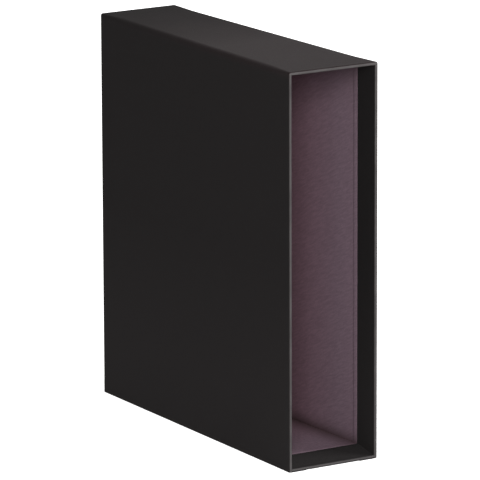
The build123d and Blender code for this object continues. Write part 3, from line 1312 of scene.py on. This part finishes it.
@dataclass(frozen=True)
class StripTree:
    """The tree that lays a strip between four corners and laps it over the turned-in paper."""

    lap_rows: float = 1 / 3
    # How the painted corner shade fades from the edges and grows further into the bay
    shade_falloff: float = 1.4
    shade_deepens: float = 0.3
    merge_distance: float = 1e-6

    def share_along(self, wiring: Wiring, given: Outputs, along: Socket) -> Socket:
        """Crowd the first rows on the lap, where the paper steps down.

        Args:
            wiring: The tree's wiring.
            given: The tree's inputs.
            along: The row's even share of the strip.

        Returns:
            The row's share of the strip's length.
        """
        zone = wiring.math("ADD", given["Lap share"], wiring.product(given["Softness share"], 2.0))
        near = wiring.product(along, 1 / self.lap_rows, zone)
        beyond = wiring.math("SUBTRACT", along, self.lap_rows)
        onward = wiring.product(beyond, 1 / (1 - self.lap_rows), wiring.rest_of(zone))
        far = wiring.math("ADD", zone, onward)
        on_lap = wiring.math("LESS_THAN", along, self.lap_rows)
        return wiring.add("ShaderNodeMix", {0: on_lap, 2: far, 3: near}, data_type="FLOAT").outputs[0]

    def corner_shade_mask(
        self, wiring: Wiring, given: Outputs, share: Socket, across: Socket, span: Socket
    ) -> Socket:
        """Paint shade along the side edges, more of it further in, and under the ceiling.

        Args:
            wiring: The tree's wiring.
            given: The tree's inputs.
            share: Share of the strip's length.
            across: Share of its width.
            span: Its width there, in metres.

        Returns:
            How much painted shade the paper takes, 0 to 1.
        """
        from_high = wiring.rest_of(across)

        def near_edge(edge_share: Socket, reach: Socket) -> Socket:
            """1 on the edge, fading to 0 at its reach."""
            reached = wiring.math("DIVIDE", wiring.product(edge_share, span), reach)
            return wiring.math("POWER", wiring.spread(reached, 1.0, 0.0), self.shade_falloff)

        edges = near_edge(wiring.math("MINIMUM", across, from_high), given["Shade reach"])
        further_in = wiring.remap(share, 0.0, self.shade_deepens, (given["Front shade"], 1.0))
        high_up = wiring.product(near_edge(from_high, given["High reach"]), given["High shade"])
        return wiring.math("MAXIMUM", wiring.product(edges, further_in), high_up)

    def thickened(self, wiring: Wiring, given: Outputs, sheet: Socket) -> Socket:
        """Give the laid sheet its thickness, and close it all round.

        Args:
            wiring: The tree's wiring.
            given: The tree's inputs.
            sheet: The sheet's glued face.

        Returns:
            The closed sheet.
        """
        rise = {"Offset": given["Off wall"], "Offset Scale": given["Thickness"], "Individual": False}
        raised = wiring.add("GeometryNodeExtrudeMesh", {"Mesh": sheet} | rise, mode="FACES")
        under = wiring.add("GeometryNodeFlipFaces", {"Mesh": sheet})
        joined = wiring.add("GeometryNodeJoinGeometry")
        wiring.feed(joined.inputs[0], raised.outputs["Mesh"])
        wiring.feed(joined.inputs[0], under.outputs["Mesh"])
        merged = {"Geometry": joined.outputs[0], "Distance": self.merge_distance}
        return wiring.add("GeometryNodeMergeByDistance", merged).outputs[0]

    def build(self) -> bpy.types.NodeTree:
        """Build the tree.

        Returns:
            The tree, whose inputs are named after the strip's corners and sizes.
        """
        tree = bpy.data.node_groups.new("lining strip", "GeometryNodeTree")
        for kind, names in STRIP_INPUTS.items():
            for name in names:
                tree.interface.new_socket(name, in_out="INPUT", socket_type=kind)
        tree.interface.new_socket("Geometry", in_out="OUTPUT", socket_type="NodeSocketGeometry")
        wiring = Wiring(tree)
        given = wiring.add("NodeGroupInput").outputs
        result = wiring.add("NodeGroupOutput").inputs
        grid = wiring.add(
            "GeometryNodeMeshGrid",
            {"Size X": 1.0, "Size Y": 1.0, "Vertices X": given["Rows"], "Vertices Y": given["Columns"]},
        ).outputs
        parts = wiring.split(grid["UV Map"])
        share = self.share_along(wiring, given, parts["X"])
        # The columns lie closer together towards both side edges
        turned = wiring.math("COSINE", wiring.product(parts["Y"], math.pi))
        across = wiring.product(wiring.rest_of(turned), 0.5)
        low = wiring.mix_vector(share, given["Front low"], given["Rear low"])
        high = wiring.mix_vector(share, given["Front high"], given["Rear high"])
        lap_end = wiring.math("ADD", given["Lap share"], given["Softness share"])
        step = wiring.add(
            "ShaderNodeMapRange",
            {0: share, 1: given["Lap share"], 2: lap_end, 3: given["Lap height"], 4: 0.0},
            interpolation_type="SMOOTHSTEP",
        ).outputs[0]
        # On the lap the side edges draw in by the thickness of the papers beside them
        drawn_in = wiring.scaled(wiring.vector("NORMALIZE", wiring.vector("SUBTRACT", high, low)), step)
        place = wiring.mix_vector(
            across, wiring.vector("ADD", low, drawn_in), wiring.vector("SUBTRACT", high, drawn_in)
        )
        per_ripple = wiring.math("DIVIDE", 1.0, given["Ripple size"])
        waves = wiring.add(
            "ShaderNodeTexNoise",
            {"Vector": place, "W": given["Seed"], "Scale": per_ripple, "Detail": 2.0},
            noise_dimensions="4D",
        ).outputs[0]
        height = wiring.math("ADD", step, wiring.product(waves, given["Ripple"]))
        spot = wiring.vector("ADD", place, wiring.scaled(given["Off wall"], height))
        span = wiring.add("ShaderNodeVectorMath", {0: low, 1: high}, operation="DISTANCE").outputs["Value"]
        # Shade painted in the corners, stored on the points
        painted_shade = self.corner_shade_mask(wiring, given, share, across, span)
        marked = wiring.add(
            "GeometryNodeStoreNamedAttribute",
            {"Geometry": grid["Mesh"], "Name": CORNER_SHADE, "Value": painted_shade},
            data_type="FLOAT",
            domain="POINT",
        ).outputs[0]
        laid = wiring.add("GeometryNodeSetPosition", {"Geometry": marked, "Position": spot}).outputs[0]
        closed = self.thickened(wiring, given, laid)
        real = wiring.add("GeometryNodeRealizeInstances", {"Geometry": closed}).outputs[0]
        papered = wiring.add("GeometryNodeSetMaterial", {"Geometry": real, "Material": given["Paper"]})
        wiring.feed(result["Geometry"], papered.outputs[0])
        return tree


@dataclass
class LiningSet:
    """The five lining papers, each a strip laid on its wall by one geometry node tree."""

    plan: CasePlan
    material: bpy.types.Material
    rows: int = 73
    columns: int = 40
    lap_softness: float = 0.0025
    ripple: float = 0.00004
    ripple_size: float = 0.03
    # Reach and strength of the shade painted in the corners and under the ceiling
    floor_shade_reach: float = 0.022
    wall_shade_reach: float = 0.012
    front_shade: float = 0.78
    high_reach: float = 0.05
    high_shade: float = 0.5
    seed: int = 11
    crease_angle: float = math.radians(40)

    def corners(self, wall: LiningWall) -> tuple[list[Vector], Vector]:
        """The strip's corners on its wall, and the way off the wall into the bay.

        Args:
            wall: The wall that the strip lies on.

        Returns:
            Front low, front high, rear low and rear high corner, and the unit vector off the wall.
        """
        plan = self.plan
        front, rear = plan.lining_front_y, plan.lining_back_y

        def on_side(side: float, y: float, z: float) -> Vector:
            """A point on the inner face of the near or far board."""
            return Vector((side * plan.half_width(y, plan.bay_inset), y, z))

        if wall in (LiningWall.NEAR_SIDE, LiningWall.FAR_SIDE):
            out = 1.0 if wall is LiningWall.FAR_SIDE else -1.0
            low, high = plan.floor_z + plan.lining, plan.bay_high_z - plan.lining
            return [on_side(out, y, z) for y in (front, rear) for z in (low, high)], Vector((-out, 0, 0))
        if wall is LiningWall.BACK:
            half = plan.half_width(rear, plan.bay_inset)
            rear += plan.lining
            spots = [Vector((x, rear, z)) for z in (plan.floor_z, plan.bay_high_z) for x in (-half, half)]
            return spots, Vector((0, -1, 0))
        level, inward = (plan.floor_z, 1.0) if wall is LiningWall.FLOOR else (plan.bay_high_z, -1.0)
        return [on_side(side, y, level) for y in (front, rear) for side in (-1, 1)], Vector((0, 0, inward))

    def values(self, wall: LiningWall) -> dict[str, object]:
        """What the tree is given for one wall.

        Args:
            wall: The wall that the strip lies on.

        Returns:
            The value for each named input.
        """
        plan = self.plan
        spots, off_wall = self.corners(wall)
        length = (spots[2] - spots[0]).length
        lapped = wall is not LiningWall.BACK
        upright = wall in (LiningWall.NEAR_SIDE, LiningWall.FAR_SIDE)
        return {
            "Front low": spots[0],
            "Front high": spots[1],
            "Rear low": spots[2],
            "Rear high": spots[3],
            "Off wall": off_wall,
            "Lap share": plan.lining_lap / length if lapped else 0.0,
            "Softness share": self.lap_softness / length,
            "Lap height": plan.paper if lapped else 0.0,
            "Thickness": plan.lining,
            "Ripple": self.ripple,
            "Ripple size": self.ripple_size,
            "Shade reach": self.floor_shade_reach if wall is LiningWall.FLOOR else self.wall_shade_reach,
            "Front shade": self.front_shade,
            "High reach": self.high_reach,
            "High shade": self.high_shade if upright else 0.0,
            "Rows": self.rows,
            "Columns": self.columns,
            "Seed": self.seed + list(LiningWall).index(wall),
            "Paper": self.material,
        }

    def build_strip(self, wall: LiningWall, tree: bpy.types.NodeTree) -> bpy.types.Object:
        """Lay one strip and turn it into a plain mesh.

        Args:
            wall: The wall that the strip lies on.
            tree: The geometry node tree.

        Returns:
            The finished piece.
        """
        values = self.values(wall)
        carrier = bpy.data.objects.new("strip", bpy.data.meshes.new("strip"))
        bpy.context.scene.collection.objects.link(carrier)
        modifier = carrier.modifiers.new("strip", "NODES")
        modifier.node_group = tree
        for socket in tree.interface.items_tree:
            if socket.in_out == "INPUT" and socket.name in values:
                modifier[socket.identifier] = values[socket.name]
        ready = carrier.evaluated_get(bpy.context.evaluated_depsgraph_get())
        mesh = bpy.data.meshes.new_from_object(ready)
        bpy.data.objects.remove(carrier)
        mesh.name = f"{wall.value}_sheet"
        face_outwards(mesh)
        piece = place_piece(mesh.name, mesh, self.material, self.crease_angle)
        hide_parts(wall.value)
        return piece

    def build(self) -> list[bpy.types.Object]:
        """Lay every strip."""
        tree = StripTree().build()
        return [self.build_strip(wall, tree) for wall in LiningWall]


# Camera and studio


@dataclass
class Camera:
    """The photograph's camera, fitted to the case's outline and to the lines of its mouth."""

    azimuth: float = -31.945
    elevation: float = 13.02
    roll: float = -0.203
    across: float = 0.00458
    up: float = 0.15464
    distance: float = 4.3909
    focal_pixels: float = 5250.7
    frame_pixels: float = 480.0
    sensor: float = 36.0
    reach: float = 100.0

    def build(self) -> bpy.types.Object:
        """Place the camera and make it the scene's own.

        Returns:
            The camera.
        """
        turn, lift, tip = (math.radians(a) for a in (self.azimuth, self.elevation, self.roll))
        back = Vector((math.sin(turn) * math.cos(lift), -math.cos(turn) * math.cos(lift), math.sin(lift)))
        level_right = Vector((0, 0, 1)).cross(back).normalized()
        level_up = back.cross(level_right)
        right = math.cos(tip) * level_right + math.sin(tip) * level_up
        upward = back.cross(right)
        data = bpy.data.cameras.new("camera")
        data.sensor_width = self.sensor
        data.lens = self.focal_pixels * self.sensor / self.frame_pixels
        data.clip_end = self.reach
        camera = bpy.data.objects.new("camera", data)
        bpy.context.scene.collection.objects.link(camera)
        place = right * self.across + upward * self.up + back * self.distance
        facing = Matrix((right, upward, back)).transposed().to_4x4()
        camera.matrix_world = Matrix.Translation(place) @ facing
        bpy.context.scene.camera = camera
        return camera


@dataclass
class Softbox:
    """A large soft lamp aimed at one point."""

    name: str
    place: Vector
    target: Vector
    width: float
    height: float
    watts: float
    mirrored: bool = True

    def build(self) -> bpy.types.Object:
        """Add the lamp, which shows in reflections only where it is to be mirrored.

        Returns:
            The lamp.
        """
        data = bpy.data.lights.new(self.name, "AREA")
        data.shape = "RECTANGLE"
        data.size, data.size_y = self.width, self.height
        data.energy = self.watts
        lamp = bpy.data.objects.new(self.name, data)
        bpy.context.scene.collection.objects.link(lamp)
        lamp.location = self.place
        lamp.visible_glossy = self.mirrored
        lamp.rotation_euler = (self.target - self.place).to_track_quat("-Z", "Y").to_euler()
        return lamp


@dataclass
class Studio:
    """Pale floor, white surroundings and soft lamps."""

    ambient: float = 0.32
    ambient_colour: Colour = (1.0, 0.93, 0.92)
    floor_colour: Colour = (0.8, 0.8, 0.8)
    floor_size: float = 20.0
    floor_gap: float = 0.00002
    floor_glow: float = 0.8
    lamps: list[Softbox] = field(
        default_factory=lambda: [
            Softbox("front lamp", Vector((-1.12, -2.64, 1.2)), Vector((0, -0.05, 0.2)), 1.7, 1.2, 126.0),
            Softbox("top lamp", Vector((0.68, -0.45, 0.92)), Vector((0, -0.05, 0.33)), 0.3, 0.3, 9.2),
            Softbox(
                "back lamp", Vector((1.9, 2.3, 0.6)), Vector((0, 0.05, 0.2)), 1.2, 1.2, 45.0, mirrored=False
            ),
        ]
    )

    def build_world(self) -> None:
        """White to the camera and in reflections, and dimmer as a light."""
        world = bpy.data.worlds.new("surroundings")
        world.use_nodes = True
        bpy.context.scene.world = world
        wiring = Wiring(world.node_tree)
        path = wiring.add("ShaderNodeLightPath").outputs
        seen = wiring.math("MAXIMUM", path["Is Camera Ray"], path["Is Glossy Ray"])
        white = wiring.math("MAXIMUM", seen, path["Is Transmission Ray"])
        background = world.node_tree.nodes["Background"].inputs
        tint = wiring.mix_colour(white, opaque(self.ambient_colour), opaque(WHITE))
        wiring.feed(background["Color"], tint)
        wiring.feed(background["Strength"], wiring.spread(white, self.ambient, 1.0))

    def build_floor(self) -> bpy.types.Object:
        """Lay a plain floor, white to the camera where no shadow falls, and not there from below.

        Returns:
            The floor, which isn't part of the case.
        """
        half, level = self.floor_size / 2, -self.floor_gap
        ring = [(-half, -half, level), (half, -half, level), (half, half, level), (-half, half, level)]
        mesh = bpy.data.meshes.new("floor")
        mesh.from_pydata(ring, [], [(0, 1, 2, 3)])
        floor = bpy.data.objects.new("floor", mesh)
        bpy.context.scene.collection.objects.link(floor)
        material = bpy.data.materials.new("floor")
        material.use_nodes = True
        wiring = Wiring(material.node_tree)
        shader = material.node_tree.nodes["Principled BSDF"].inputs
        shader["Base Color"].default_value = opaque(self.floor_colour)
        shader["Roughness"].default_value = 1.0
        shader["Specular IOR Level"].default_value = 0.0
        shader["Emission Color"].default_value = opaque(WHITE)
        path = wiring.add("ShaderNodeLightPath").outputs
        seen = wiring.math("MAXIMUM", path["Is Camera Ray"], path["Is Glossy Ray"])
        wiring.feed(shader["Emission Strength"], wiring.product(seen, self.floor_glow))
        backfacing = wiring.add("ShaderNodeNewGeometry").outputs["Backfacing"]
        wiring.feed(shader["Alpha"], wiring.rest_of(backfacing))
        mesh.materials.append(material)
        return floor

    def build(self) -> None:
        """Build the world, the floor and the lamps."""
        self.build_world()
        self.build_floor()
        for lamp in self.lamps:
            lamp.build()


def dress_solids(finishes: dict[str, bpy.types.Material]) -> None:
    """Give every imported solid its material.

    Args:
        finishes: The material for each last word of the solids' names.
    """
    for name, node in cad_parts.items():
        node.data.materials.clear()
        node.data.materials.append(finishes[name.rsplit("_", 1)[-1]])


def main() -> None:
    """Build everything in order and report it."""
    logging.basicConfig(level=logging.INFO, format="%(message)s")
    bpy.context.scene.view_settings.view_transform = "Standard"
    plan = CasePlan.from_solids()
    effects = SharedEffects.build()
    black = CoverPaperFinish(effects=effects, top_z=plan.high_z).build()
    mauve = LiningPaperFinish(effects=effects).build()
    grey = GreyBoardFinish(effects=effects).build()
    brown = GummedTapeFinish(effects=effects).build()
    dress_solids({"wrap": black, "cover": black, "lining": mauve, "board": grey, "stay": brown})
    CoverWrap(plan, black).build()
    BackCover(plan, black).build()
    BaseCover(plan, black).build()
    LiningSet(plan, mauve).build()
    Studio().build()
    Camera().build()


if __name__ == "__main__":
    main()
